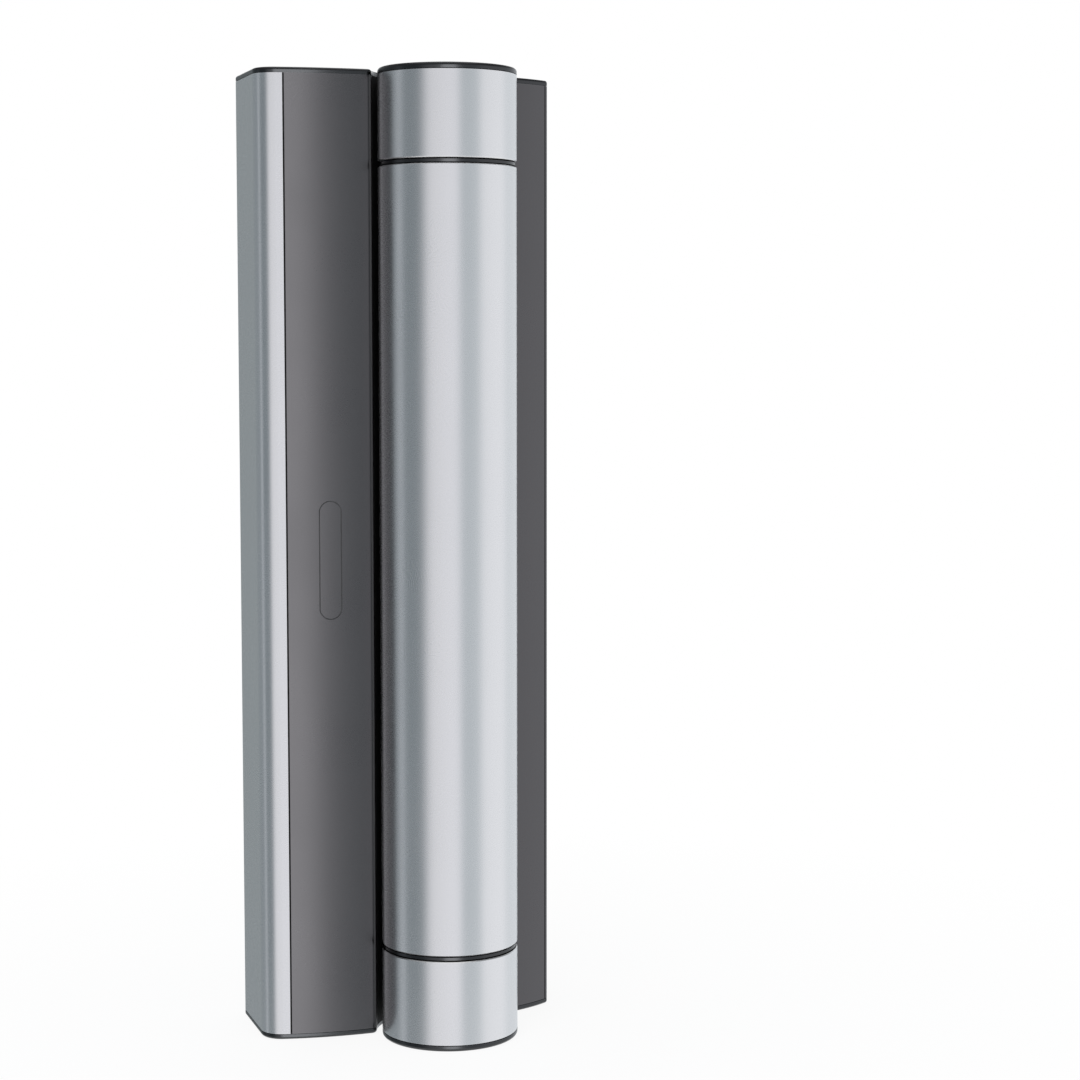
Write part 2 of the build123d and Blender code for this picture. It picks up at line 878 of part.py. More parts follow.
def make_brake_disc():
    with BuildPart() as brake_disc:
        with BuildSketch(Plane.XY.offset(encoder_z + brake_disc_gap)):
            Circle(brake_disc_radius)
            Circle(rotor_shaft_radius + fit, mode=Mode.SUBTRACT)
        extrude(amount=brake_disc_thickness)
    save(brake_disc, "brake_disc")


def make_encoder_housing():
    """Cup over the brake disc and the encoder, with bosses that carry the encoder board."""
    inside_top = encoder_z + encoder_height - encoder_wall
    with BuildPart() as encoder_housing:
        with BuildSketch(Plane.XY.offset(encoder_z)):
            Circle(motor_radius)
        extrude(amount=encoder_height)
        with BuildSketch(Plane.XY.offset(encoder_z)):
            Circle(motor_radius - encoder_wall)
        extrude(amount=encoder_height - encoder_wall, mode=Mode.SUBTRACT)
        with BuildSketch(Plane.XY.offset(inside_top - encoder_boss_height)):
            with PolarLocations(encoder_boss_circle, 3):
                Circle(encoder_boss_radius)
        extrude(amount=encoder_boss_height)
    save(encoder_housing, "encoder_housing")


def make_encoder_board():
    top = encoder_z + encoder_height - encoder_wall - encoder_boss_height
    with BuildPart() as encoder_board:
        with BuildSketch(Plane.XY.offset(top - board_thickness)):
            Circle(encoder_board_radius)
        extrude(amount=board_thickness)
    save(encoder_board, "encoder_board")


def make_encoder_magnet():
    with BuildPart() as encoder_magnet:
        with BuildSketch(Plane.XY.offset(encoder_magnet_z)):
            Circle(rotor_shaft_radius)
        extrude(amount=encoder_magnet_height)
    save(encoder_magnet, "encoder_magnet")


# Control board


def board_face():
    """Depth of the control board's front face."""
    return back_inside - standoff_height - board_thickness


def board_corners():
    """Places of the board's four fixings, as X and Z."""
    across = board_width / 2 - board_edge
    places = []
    for x in (board_x - across, board_x + across):
        for z in (board_low + board_edge, board_low + board_height - board_edge):
            places.append((x, z))
    return places


def make_control_board():
    with BuildPart() as control_board:
        with BuildSketch(facing(board_x, board_face(), board_low + board_height / 2, (0, 1, 0))):
            Rectangle(board_width, board_height)
        extrude(amount=board_thickness)
        for x, z in board_corners():
            with Locations(facing(x, board_face(), z, (0, -1, 0))):
                Hole(board_screw / 2 + fit, depth=2 * board_thickness)
    save(control_board, "control_board")


def make_board_standoffs():
    with BuildPart() as board_standoffs:
        for x, z in board_corners():
            with BuildSketch(facing(x, back_inside, z, (0, -1, 0))):
                RegularPolygon(standoff_width / 2, 6, major_radius=False)
                Circle(board_screw / 2 + fit, mode=Mode.SUBTRACT)
            extrude(amount=standoff_height)
    save(board_standoffs, "board_standoffs")


def make_board_screws():
    with BuildPart() as board_screws:
        for x, z in board_corners():
            with Locations(facing(x, board_face(), z, (0, -1, 0))):
                socket_screw(board_screw, standoff_height - board_thickness)
    save(board_screws, "board_screws")


def make_board_parts():
    """Tall parts of the board: heat sink with fins, two capacitors, two relays."""
    face = board_face()
    sink_z = board_low + sink_rise
    capacitor_z = board_low + capacitor_rise
    relay_z = board_low + relay_rise
    with BuildPart() as board_parts:
        with BuildSketch(facing(board_x, face, sink_z, (0, -1, 0))):
            Rectangle(sink_width, sink_height)
        extrude(amount=sink_depth)
        with BuildSketch(facing(board_x, face - sink_depth, sink_z, (0, 1, 0))):
            with GridLocations(2 * fin_gap, 0, fin_count, 1):
                Rectangle(fin_gap, sink_height)
        extrude(amount=fin_depth, mode=Mode.SUBTRACT)
        with BuildSketch(facing(board_x, face, capacitor_z, (0, -1, 0))):
            with GridLocations(0, capacitor_spacing, 1, 2):
                Circle(capacitor_radius)
        extrude(amount=capacitor_height)
        with BuildSketch(facing(board_x - relay_shift, face, relay_z, (0, -1, 0))):
            with GridLocations(0, relay_spacing, 1, 2):
                Rectangle(relay_width, relay_height)
        extrude(amount=relay_depth)
    save(board_parts, "board_parts")


def make_terminal_block():
    """Block that takes the motor's lead, at the board's upper inner edge."""
    x = board_x + board_width / 2 - terminal_width / 2
    with BuildPart() as terminal_block:
        with BuildSketch(facing(x, board_face(), lead_z, (0, -1, 0))):
            Rectangle(terminal_width, terminal_height)
        extrude(amount=terminal_depth)
    save(terminal_block, "terminal_block")


def make_motor_lead():
    """Lead from the encoder housing up, back through the web's channel and across to the terminals."""
    route = [
        (-web_middle, lead_start_y, encoder_z + encoder_height),
        (-web_middle, lead_start_y, lead_z),
        (-web_middle, lead_depth, lead_z),
        (board_x + board_width / 2, lead_depth, lead_z),
    ]
    first_run = lead_z - encoder_z - encoder_height
    bend = lead_bend_share * min(first_run, lead_depth - lead_start_y)
    with BuildPart() as motor_lead:
        with BuildLine():
            FilletPolyline(*route, radius=bend)
        with BuildSketch(Plane(origin=route[0], z_dir=(0, 0, 1))):
            Circle(lead_diameter / 2)
        sweep()
    save(motor_lead, "motor_lead")
    print("lead bends of", bend)


def make_cable_grommet():
    """Rubber grommet in the back wall, still closed by its membrane."""
    inner_flange_y = back_inside - grommet_flange
    with BuildPart() as cable_grommet:
        with BuildSketch(facing(post_mount_x, back_depth, grommet_height, (0, -1, 0))):
            Circle(grommet_hole_radius - fit)
        extrude(amount=back_wall)
        with BuildSketch(facing(post_mount_x, back_depth, grommet_height, (0, -1, 0))):
            Circle(grommet_flange_radius - fit)
        extrude(amount=grommet_flange)
        with BuildSketch(facing(post_mount_x, inner_flange_y, grommet_height, (0, 1, 0))):
            Circle(grommet_flange_radius)
        extrude(amount=grommet_flange)
        with BuildSketch(facing(post_mount_x, back_depth, grommet_height, (0, -1, 0))):
            Circle(grommet_hole_radius - 2 * grommet_membrane)
        extrude(amount=back_wall + grommet_flange - grommet_membrane, mode=Mode.SUBTRACT)
    save(cable_grommet, "cable_grommet")


# Gate leaf


def make_gate_leaf():
    """Body of the gate leaf, with slots for the knuckles' webs and holes for the gate's bolts."""
    zone = front_zone(
        gate_front_centre, gate_front_radius, 0, gate_seam_x + seam, cover_clearance
    )
    slot = web_width + 2 * web_clearance
    slots = [
        (leaf_low_z, ring_low_z + web_clearance),
        (knuckle_high_z - web_clearance, leaf_high_z),
    ]
    with BuildPart() as gate_leaf:
        with BuildSketch(Plane.XY.offset(leaf_low_z)):
            add(leaf_profile(gate_outline(), gate_ports, zone))
        extrude(amount=leaf_high_z - leaf_low_z)
        for low, high in slots:
            with BuildSketch(Plane.XY.offset(low)):
                with Locations((web_middle, back_inside)):
                    Rectangle(slot, back_inside, align=(Align.CENTER, Align.MAX))
            extrude(amount=high - low, mode=Mode.SUBTRACT)
        with Locations(facing(gate_mount_x, back_depth, middle_z, (0, 1, 0))):
            with GridLocations(0, gate_mount_spacing, 1, gate_mount_count):
                Hole(mount_hole / 2, depth=2 * back_wall)
        for height in knuckle_screw_heights():
            with Locations(facing(web_middle, back_depth, height, (0, 1, 0))):
                CounterSinkHole(
                    web_screw / 2 + fit,
                    web_screw + fit,
                    depth=2 * back_wall,
                    counter_sink_angle=90,
                )
    save(gate_leaf, "gate_leaf")


def make_gate_cover():
    with BuildPart() as gate_cover:
        with BuildSketch(Plane.XY.offset(leaf_low_z)):
            add(gate_outline())
            add(
                front_zone(gate_front_centre, gate_front_radius, 0, gate_seam_x, 0),
                mode=Mode.INTERSECT,
            )
        extrude(amount=leaf_high_z - leaf_low_z)
    save(gate_cover, "gate_cover")


def make_knuckle(name, low, bore_key):
    """Knuckle: a round end of the barrel with a web to the gate leaf's back wall."""
    web_low = max(low, leaf_low_z)
    web_high = min(low + knuckle_height, leaf_high_z)
    with BuildPart() as knuckle:
        with BuildSketch(Plane.XY.offset(low)):
            Circle(barrel_radius)
        extrude(amount=knuckle_height)
        chamfer(knuckle.edges().filter_by(GeomType.CIRCLE), length=edge_chamfer)
        with BuildSketch(Plane.XY.offset(web_low)):
            with Locations((web_middle, back_inside)):
                Rectangle(web_width, back_inside, align=(Align.CENTER, Align.MAX))
        extrude(amount=web_high - web_low)
        with BuildSketch(Plane.XY.offset(low)):
            Circle(shaft_radius + fit)
        extrude(amount=knuckle_height, mode=Mode.SUBTRACT)
        for height in knuckle_screw_heights():
            if low < height < low + knuckle_height:
                with Locations(facing(web_middle, back_inside, height, (0, 1, 0))):
                    Hole(web_screw / 2 + fit, depth=web_screw_length)
        if bore_key:
            with BuildSketch(Plane.XY.offset(low)):
                with Locations((0, -shaft_radius)):
                    Rectangle(key_width + 2 * fit, key_width + 2 * fit)
            extrude(amount=knuckle_height, mode=Mode.SUBTRACT)
    save(knuckle, name)


def make_barrel_cap(name, low, top):
    """Dark end cap of the barrel, with a rounded rim and a spigot in the knuckle's bore."""
    outward = Axis.Z if top else -Axis.Z
    spigot_low = low - cap_spigot if top else low
    with BuildPart() as barrel_cap:
        with BuildSketch(Plane.XY.offset(low)):
            Circle(barrel_radius)
        extrude(amount=barrel_cap_thickness)
        fillet(barrel_cap.faces().sort_by(outward)[-1].edges(), radius=barrel_cap_round)
        with BuildSketch(Plane.XY.offset(spigot_low)):
            Circle(shaft_radius)
        extrude(amount=cap_spigot + barrel_cap_thickness)
    save(barrel_cap, name)


def make_pivot_pin():
    """Pin of the upper knuckle, down into the upper bush."""
    low = ring_high_z - plug_height
    with BuildPart() as pivot_pin:
        with BuildSketch(Plane.XY.offset(low)):
            Circle(shaft_radius)
        extrude(amount=cap_high_z - cap_spigot - low)
    save(pivot_pin, "pivot_pin")


def make_shaft_key():
    with BuildPart() as shaft_key:
        with BuildSketch(Plane.XY.offset(key_z)):
            with Locations((0, -shaft_radius)):
                Rectangle(key_width, key_width)
        extrude(amount=key_length)
    save(shaft_key, "shaft_key")


make_post_housing()
make_post_cover()
make_leaf_cap("post_cap_top", post_outline(), post_ports, True)
make_leaf_cap("post_cap_bottom", post_outline(), post_ports, False)
make_cap_screws("post_cap_screws", post_ports)
make_barrel_tube()
make_web_screws("tube_screws", web_screw_heights(), web_screw_length, -web_middle)
make_web_screws("plug_screws", plug_heights(), plug_screw_length, -web_middle)
make_plug("lower_plug", tube_z, False)
make_plug("upper_plug", upper_plug_z, True)
make_bush("lower_bush", tube_z, False)
make_bush("upper_bush", ring_high_z, True)
make_joint_ring("lower_ring", ring_low_z + ring_running_gap)
make_joint_ring("upper_ring", ring_high_z)
make_ring_gear()
make_gearbox_screws()
make_motor_flange()
make_motor_bearings()
make_motor_can()
make_stator()
make_end_windings()
make_end_bell()
make_brake_body()
make_encoder_housing()
make_encoder_board()
make_control_board()
make_board_standoffs()
make_board_screws()
make_board_parts()
make_terminal_block()
make_motor_lead()
make_cable_grommet()

make_gate_leaf()
make_gate_cover()
make_leaf_cap("gate_cap_top", gate_outline(), gate_ports, True)
make_leaf_cap("gate_cap_bottom", gate_outline(), gate_ports, False)
make_cap_screws("gate_cap_screws", gate_ports)
make_knuckle("knuckle_bottom", knuckle_low_z, True)
make_knuckle("knuckle_top", knuckle_high_z, False)
make_web_screws("knuckle_screws", knuckle_screw_heights(), web_screw_length, web_middle)
make_barrel_cap("barrel_cap_bottom", 0, False)
make_barrel_cap("barrel_cap_top", cap_high_z, True)
make_output_carrier()
make_planet_pins("output_pins", output_plate_z, output_plate, output_planet_height)
make_shaft_key()
make_pivot_pin()

make_rotor_shaft()
make_rotor_magnets()
make_brake_disc()
make_encoder_magnet()
make_input_carrier()
make_planet_pins("input_pins", input_plate_z, input_plate, input_planet_height)
make_planets("output", output_planet_z, output_planet_height)
make_planets("input", input_planet_z, input_planet_height)
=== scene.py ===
import json
import math

import bmesh
import bpy
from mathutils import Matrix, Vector


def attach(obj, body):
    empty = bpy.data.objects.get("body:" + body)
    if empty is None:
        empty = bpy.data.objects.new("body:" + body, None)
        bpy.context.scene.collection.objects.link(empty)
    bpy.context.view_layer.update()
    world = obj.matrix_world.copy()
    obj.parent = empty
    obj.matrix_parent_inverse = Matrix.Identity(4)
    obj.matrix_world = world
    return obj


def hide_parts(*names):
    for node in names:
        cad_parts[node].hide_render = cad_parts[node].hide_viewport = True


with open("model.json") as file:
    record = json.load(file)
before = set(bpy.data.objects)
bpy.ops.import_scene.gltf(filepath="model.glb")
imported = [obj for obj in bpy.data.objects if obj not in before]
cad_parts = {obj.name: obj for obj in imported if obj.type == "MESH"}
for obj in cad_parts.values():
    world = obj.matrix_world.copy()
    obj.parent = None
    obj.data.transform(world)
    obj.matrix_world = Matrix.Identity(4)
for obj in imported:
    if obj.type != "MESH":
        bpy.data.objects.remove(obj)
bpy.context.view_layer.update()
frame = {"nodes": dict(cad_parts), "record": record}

# Camera, fitted to the photo's view, in metres
camera_place = (-0.3019, -1.0181, 0.3107)
camera_heading = (0.3206, 0.9472)
camera_pitch = math.radians(-4.882)
camera_lens = 81.14
camera_shift = -0.0009
camera_near = 0.01

# Floor and world, in metres
white = (1.0, 1.0, 1.0, 1.0)
room_colour = (0.62, 0.64, 0.66, 1.0)
floor_colour = (0.93, 0.93, 0.93, 1.0)
floor_reach = 4.0
shadow_share = 0.1
shadow_near = 0.1
shadow_far = 0.45

# Reflector panels, in metres, and their opening in degrees from -Y towards +X
panel_radius = 2.4
panel_low = -1.2
panel_high = 1.5
panel_opening = (151, 170)
panel_steps = 90
wall_top = 0.9
ceiling_start = 1.4
ceiling_bright = (1.0, 1.0, 1.0)
ceiling_dark = (0.26, 0.27, 0.28)
ceiling_bright_radius = 0.5
ceiling_dark_radius = 0.8

# The panels' walls by heading: degrees from -Y towards +X, and the colour seen there
walls = [
    (-180, (0.30, 0.33, 0.34)),
    (-125, (0.27, 0.30, 0.32)),
    (-111, (0.26, 0.29, 0.31)),
    (-108, (0.47, 0.50, 0.53)),
    (-98, (0.47, 0.50, 0.53)),
    (-94, (0.22, 0.25, 0.27)),
    (-66, (0.22, 0.25, 0.27)),
    (-44, (0.82, 0.82, 0.85)),
    (-2, (0.89, 0.89, 0.93)),
    (9, (0.53, 0.57, 0.60)),
    (31, (0.58, 0.62, 0.65)),
    (46, (0.90, 0.91, 0.94)),
    (84, (0.93, 0.94, 0.97)),
    (98, (0.78, 0.81, 0.84)),
    (150, (0.78, 0.81, 0.84)),
    (180, (1.0, 1.0, 1.0)),
]

# Soft lamps that light the whole part: name, place, width and height in metres, watts
lamp_aim = (0.0, 0.0, 0.21)
lamps = [
    ("key_lamp", (-0.7, -1.1, 1.2), 1.0, 0.8, 9.0),
    ("fill_lamp", (1.2, -0.7, 0.6), 0.8, 1.2, 3.0),
    ("back_lamp", (0.3, 1.4, 0.9), 1.0, 1.0, 3.0),
]

# Tall lamps for some finishes: name, material slots, heading in degrees, width in metres, radiance
strip_distance = 1.6
strip_low = -0.9
strip_high = 0.9
strips = [
    ("cover_strip", ("dark_aluminium",), -12.5, 0.52, 1.5),
    ("cap_strip", ("dark_caps", "ring_plastic"), -13.0, 0.7, 2.4),
]

# Places on the part that its finishes need, in metres: radii are from the barrel's or the cover's axis
barrel_axis = (0.0, 0.0)
barrel_skin = 0.0306
hollow_wall = 0.0331
ring_core = 0.029
cover_axis = (-0.04, 0.1555)
capsule_floor = (0.1462, 0.14685)
seam_low = -0.06985
seam_high = -0.0691
seam_reach = 0.02
sleeve_start = 0.2233
relay_start = 0.2618
lid_end = 0.0262
zone_edge = 0.0001

# What the finishes share: grain, clouding, and lighter edges that are partly wear and partly painted
# highlight, with sizes in metres
grain_detail = 2.0
cloud_size = 0.05
cloud_detail = 3.0
edge_mask_radius = 0.0005
edge_mask_samples = 4
flat_agreement = 0.998
edge_agreement = 0.93
wear_and_highlight_gain = 1.5
wear_and_highlight_lift = 0.04
crown_limit = 0.998

# Tones of the dark aluminium, and of the matt layers of painted shade in hollows, grooves, seams and screw
# sockets
dark_grey = (0.113, 0.1105, 0.1145)
black = (0.004, 0.004, 0.004)
groove_shade_grey = (0.07, 0.07, 0.072)
socket_shade_grey = (0.03, 0.03, 0.032)
shade_roughness = 0.7

# Scale at which the wave texture has a period of one metre
metre_wave = 2 * math.pi / 20

# Windings and laminations: period and depth of the lines in metres, and their tone
wire_lines = (0.0006, 0.00012, (0.30, 0.11, 0.05))
sheet_lines = (0.001, 0.00004, (0.10, 0.10, 0.105))

# Circuit board: cells a metre and how uneven they are, where lines and pads start, tones
track_cells = (260.0, 0.35)
track_limits = (0.42, 0.55)
track_green = (0.03, 0.17, 0.07)
track_height = 0.00003
pad_cells = (140.0, 0.8)
pad_limits = (0.12, 0.16)
pad_tin = (0.72, 0.70, 0.66)
sleeve_blue = (0.02, 0.05, 0.12)
lid_metal = (0.55, 0.56, 0.58)
relay_white = (0.60, 0.60, 0.57)

# How a screw is shaped: lengths in millimetres, and shares of its size or of its thread
screw_sides = 24
socket_mark = "socket"
crease_angle = math.radians(32)
thread_pitch = {2.0: 0.4, 3.0: 0.5, 5.0: 0.8}
thread_depth_share = 0.3
rings_a_turn = 4
cap_head_share = 0.85
soft_share = 0.05
rim_inset = 1.2
flats_share = 0.68
socket_divisor = 2.2
socket_tip_share = 0.12
skin_play = 0.01
head_play = 0.005
short_shank = 1.0
long_screw = 20.0
long_shank_share = 0.55
tip_start = 0.4
tip_taper = 1.5

# Where the screws are, in millimetres
middle_height = 211.8
cap_heights = (0.2, 423.4)
post_ports = [(-73.6, 50.0), (-73.6, 27.0), (-27.0, 50.0)]
gate_ports = [(49.4, 50.0), (27.0, 50.0)]
back_face = 58.0
web_x = 15.0
tube_heights = (151.8, 271.8)
plug_heights = (53.0, 370.6)
knuckle_heights = (11.05, 31.05, 392.55, 412.55)
gear_root = 21.9625
tube_bore = 26.0
tube_fit = 0.05
gearbox_circle = (gear_root + tube_bore - tube_fit) / 2
gearbox_seat = 44.0
gearbox_turns = [math.radians(degrees) for degrees in (45, 135, 225, 315)]
board_columns = (-65.0, -45.0)
board_face = 42.4
board_heights = (162.8, 352.8)

post_cap_places = [(x, y, z) for x, y in post_ports for z in cap_heights]
gate_cap_places = [(x, y, z) for x, y in gate_ports for z in cap_heights]
tube_places = [(-web_x, back_face, z) for z in tube_heights]
plug_places = [(-web_x, back_face, z) for z in plug_heights]
knuckle_places = [(web_x, back_face, z) for z in knuckle_heights]
gearbox_places = [
    (gearbox_circle * math.cos(turn), gearbox_circle * math.sin(turn), gearbox_seat) for turn in gearbox_turns
]
board_places = [(x, board_face, z) for x in board_columns for z in board_heights]

# Screws: node, size, length, sunk or not, the way the heads face (None is up or down), places
screw_table = [
    ("post_cap_screws", 3.0, 10.0, True, None, post_cap_places),
    ("gate_cap_screws", 3.0, 10.0, True, None, gate_cap_places),
    ("tube_screws", 5.0, 13.0, True, (0, 1, 0), tube_places),
    ("plug_screws", 5.0, 24.0, True, (0, 1, 0), plug_places),
    ("knuckle_screws", 5.0, 13.0, True, (0, 1, 0), knuckle_places),
    ("gearbox_screws", 2.0, 34.0, False, (0, 0, -1), gearbox_places),
    ("board_screws", 3.0, 8.4, False, (0, -1, 0), board_places),
]
gate_screws = ("gate_cap_screws", "knuckle_screws")


# Nodes


def put(tree, kind, values=None, **settings):
    """A new node, with its settings and the values of its input sockets."""
    made = tree.nodes.new(kind)
    for name, value in settings.items():
        setattr(made, name, value)
    for name, value in (values or {}).items():
        made.inputs[name].default_value = value
    return made


def join(tree, output, socket):
    """A link from an output to an input."""
    tree.links.new(output, socket)


def fill(tree, sockets, terms):
    """Gives each input its term: an output is linked, and a plain value is set."""
    for socket, term in zip(sockets, terms):
        if isinstance(term, bpy.types.NodeSocket):
            join(tree, term, socket)
        else:
            socket.default_value = term


def reckon(tree, operation, *terms):
    """A number worked out from others, each an output or a plain number."""
    made = put(tree, "ShaderNodeMath", operation=operation)
    fill(tree, made.inputs, terms)
    return made.outputs[0]


def reckon_vector(tree, operation, *terms):
    """A vector worked out from others, or a number where the operation measures them."""
    made = put(tree, "ShaderNodeVectorMath", operation=operation)
    fill(tree, made.inputs, terms)
    return made.outputs["Value" if operation in ("LENGTH", "DOT_PRODUCT") else "Vector"]


def spread(tree, value, low, high, start=0.3, end=0.7):
    """The value, mapped from start..end to low..high."""
    limits = {"From Min": start, "From Max": end, "To Min": low, "To Max": high}
    mapped = put(tree, "ShaderNodeMapRange", limits)
    join(tree, value, mapped.inputs["Value"])
    return mapped.outputs[0]


def blend(tree, share, first, second, kind="RGBA"):
    """A colour between two, each an output or three plain numbers, or a vector between two outputs."""
    mix = put(tree, "ShaderNodeMix", data_type=kind)
    join(tree, share, mix.inputs["Factor"])
    sockets = [s for s in mix.inputs if s.type == kind and s.name in ("A", "B")]
    fill(tree, sockets, [(*end, 1.0) if isinstance(end, tuple) else end for end in (first, second)])
    return [s for s in mix.outputs if s.type == kind][0]


def place_on_object(tree):
    """The place in the object's own frame."""
    return put(tree, "ShaderNodeTexCoord").outputs["Object"]


def measures(tree):
    """The X, Y and Z of the place in the object's own frame."""
    split = put(tree, "ShaderNodeSeparateXYZ")
    join(tree, place_on_object(tree), split.inputs[0])
    return split.outputs


def level_from(tree, centre):
    """The level way to a place from an upright axis, in metres."""
    moved = reckon_vector(tree, "SUBTRACT", place_on_object(tree), (*centre, 0))
    return reckon_vector(tree, "MULTIPLY", moved, (1, 1, 0))


def surface_normal(tree):
    return put(tree, "ShaderNodeNewGeometry").outputs["Normal"]


def seen(tree):
    """1 for what the camera sees straight on, in a reflection or through glass."""
    rays = put(tree, "ShaderNodeLightPath").outputs
    either = reckon(tree, "MAXIMUM", rays["Is Camera Ray"], rays["Is Glossy Ray"])
    return reckon(tree, "MAXIMUM", either, rays["Is Transmission Ray"])


def show_between(tree, kind, share, first, second):
    """An output node of a material or of the world, fed from between two shaders."""
    mix = put(tree, "ShaderNodeMixShader")
    fill(tree, mix.inputs, (share, first.outputs[0], second.outputs[0]))
    output = put(tree, kind)
    join(tree, mix.outputs[0], output.inputs["Surface"])


def empty_material(name):
    made = bpy.data.materials.new(name)
    made.use_nodes = True
    made.node_tree.nodes.clear()
    return made


# Camera, floor and light


def add_object(name, data):
    made = bpy.data.objects.new(name, data)
    bpy.context.scene.collection.objects.link(made)
    return made


def point_along(thing, place, ahead):
    """Puts a camera or a lamp at a place, looking along a direction."""
    thing.location = place
    thing.rotation_mode = "QUATERNION"
    thing.rotation_quaternion = ahead.to_track_quat("-Z", "Y")


def make_camera():
    data = bpy.data.cameras.new("camera")
    data.lens = camera_lens
    data.shift_x = camera_shift
    data.clip_start = camera_near
    camera = add_object("camera", data)
    level = math.cos(camera_pitch)
    ahead = Vector((camera_heading[0] * level, camera_heading[1] * level, math.sin(camera_pitch)))
    point_along(camera, camera_place, ahead)
    bpy.context.scene.camera = camera


def make_floor():
    """A pale floor that is seen white, apart from the object's soft shadow near it."""
    corners = [(-floor_reach, -floor_reach), (floor_reach, -floor_reach)]
    corners += [(floor_reach, floor_reach), (-floor_reach, floor_reach)]
    mesh = bpy.data.meshes.new("floor")
    mesh.from_pydata([(x, y, 0.0) for x, y in corners], [], [(0, 1, 2, 3)])
    floor = add_object("floor", mesh)
    floor.visible_glossy = False
    made = empty_material("pale_floor")
    tree = made.node_tree
    paint = put(tree, "ShaderNodeBsdfDiffuse", {"Color": floor_colour})
    glow = put(tree, "ShaderNodeEmission", {"Color": white, "Strength": 1.0})
    away = reckon_vector(tree, "LENGTH", place_on_object(tree))
    bare = spread(tree, away, 1 - shadow_share, 1.0, shadow_near, shadow_far)
    share = reckon(tree, "MULTIPLY", seen(tree), bare)
    show_between(tree, "ShaderNodeOutputMaterial", share, paint, glow)
    mesh.materials.append(made)


def make_world():
    """White wherever it is seen, straight on or in a reflection, and plain grey light on dull surfaces."""
    world = bpy.data.worlds.new("studio")
    bpy.context.scene.world = world
    world.use_nodes = True
    tree = world.node_tree
    tree.nodes.clear()
    plain = put(tree, "ShaderNodeBackground", {"Color": room_colour})
    bright = put(tree, "ShaderNodeBackground", {"Color": white})
    show_between(tree, "ShaderNodeOutputWorld", seen(tree), plain, bright)


def make_panels():
    """Reflector panels round the object: walls, open behind it, and a ceiling with a bright middle."""
    shape = bmesh.new()
    first, last = panel_opening[1] - 360, panel_opening[0]
    lows, highs = [], []
    for step in range(panel_steps + 1):
        turn = math.radians(first + (last - first) * step / panel_steps)
        x, y = panel_radius * math.sin(turn), -panel_radius * math.cos(turn)
        lows.append(shape.verts.new((x, y, panel_low)))
        highs.append(shape.verts.new((x, y, panel_high)))
    for step in range(panel_steps):
        shape.faces.new((lows[step], lows[step + 1], highs[step + 1], highs[step]))
    middle = shape.verts.new((0, 0, panel_high))
    for step in range(panel_steps):
        shape.faces.new((highs[step], highs[step + 1], middle))
    mesh = bpy.data.meshes.new("studio_panels")
    shape.to_mesh(mesh)
    shape.free()
    panels = add_object("studio_panels", mesh)
    panels.visible_camera = False
    panels.visible_diffuse = False
    panels.visible_transmission = False
    panels.visible_shadow = False
    mesh.materials.append(panel_light())


def panel_light():
    """The panels' light, by heading on the walls and by distance from the middle on the ceiling."""
    made = empty_material("panel_light")
    tree = made.node_tree
    place = measures(tree)
    front = reckon(tree, "MULTIPLY", place["Y"], -1.0)
    heading = reckon(tree, "ARCTAN2", place["X"], front)
    ramp = put(tree, "ShaderNodeValToRGB")
    ramp.color_ramp.interpolation = "EASE"
    marks = ramp.color_ramp.elements
    while len(marks) < len(walls):
        marks.new(1.0)
    for mark, (degrees, colour) in zip(marks, walls):
        mark.position = (degrees + 180) / 360
        mark.color = (*colour, 1.0)
    join(tree, spread(tree, heading, 0.0, 1.0, -math.pi, math.pi), ramp.inputs[0])
    away = reckon_vector(tree, "LENGTH", level_from(tree, barrel_axis))
    outward = spread(tree, away, 0.0, 1.0, ceiling_bright_radius, ceiling_dark_radius)
    ceiling = blend(tree, outward, ceiling_bright, ceiling_dark)
    top = spread(tree, place["Z"], 0.0, 1.0, wall_top, ceiling_start)
    glow = put(tree, "ShaderNodeEmission", {"Strength": 1.0})
    join(tree, blend(tree, top, ramp.outputs["Color"], ceiling), glow.inputs["Color"])
    output = put(tree, "ShaderNodeOutputMaterial")
    join(tree, glow.outputs[0], output.inputs["Surface"])
    made.cycles.emission_sampling = "NONE"
    return made


def make_lamp(name, place, aim, width, height, power):
    """A soft lamp that is seen neither straight on nor in a reflection."""
    data = bpy.data.lights.new(name, "AREA")
    data.shape = "RECTANGLE"
    data.size = width
    data.size_y = height
    data.energy = power
    lamp = add_object(name, data)
    point_along(lamp, place, Vector(aim) - Vector(place))
    lamp.visible_camera = False
    lamp.visible_glossy = False
    return lamp


def make_strip(name, slots, heading, width, radiance):
    """A tall soft lamp beside the camera that lights, and shows in, only the pieces of some slots."""
    turn = math.radians(heading)
    middle = (strip_low + strip_high) / 2
    height = strip_high - strip_low
    place = (strip_distance * math.sin(turn), -strip_distance * math.cos(turn), middle)
    power = math.pi * width * height * radiance
    lamp = make_lamp(name, place, (0, 0, middle), width, height, power)
    lamp.visible_glossy = True
    lit = bpy.data.collections.new(name + "_pieces")
    shading = bpy.data.collections.new(name + "_shading")
    for part in frame["record"]["subparts"]:
        piece = frame["nodes"][part["node"]]
        shading.objects.link(piece)
        if part["material_slot"] in slots:
            lit.objects.link(piece)
    lamp.light_linking.receiver_collection = lit
    lamp.light_linking.blocker_collection = shading


def make_lamps():
    for name, place, width, height, power in lamps:
        make_lamp(name, place, lamp_aim, width, height, power)
    for strip in strips:
        make_strip(*strip)


# Parts of materials


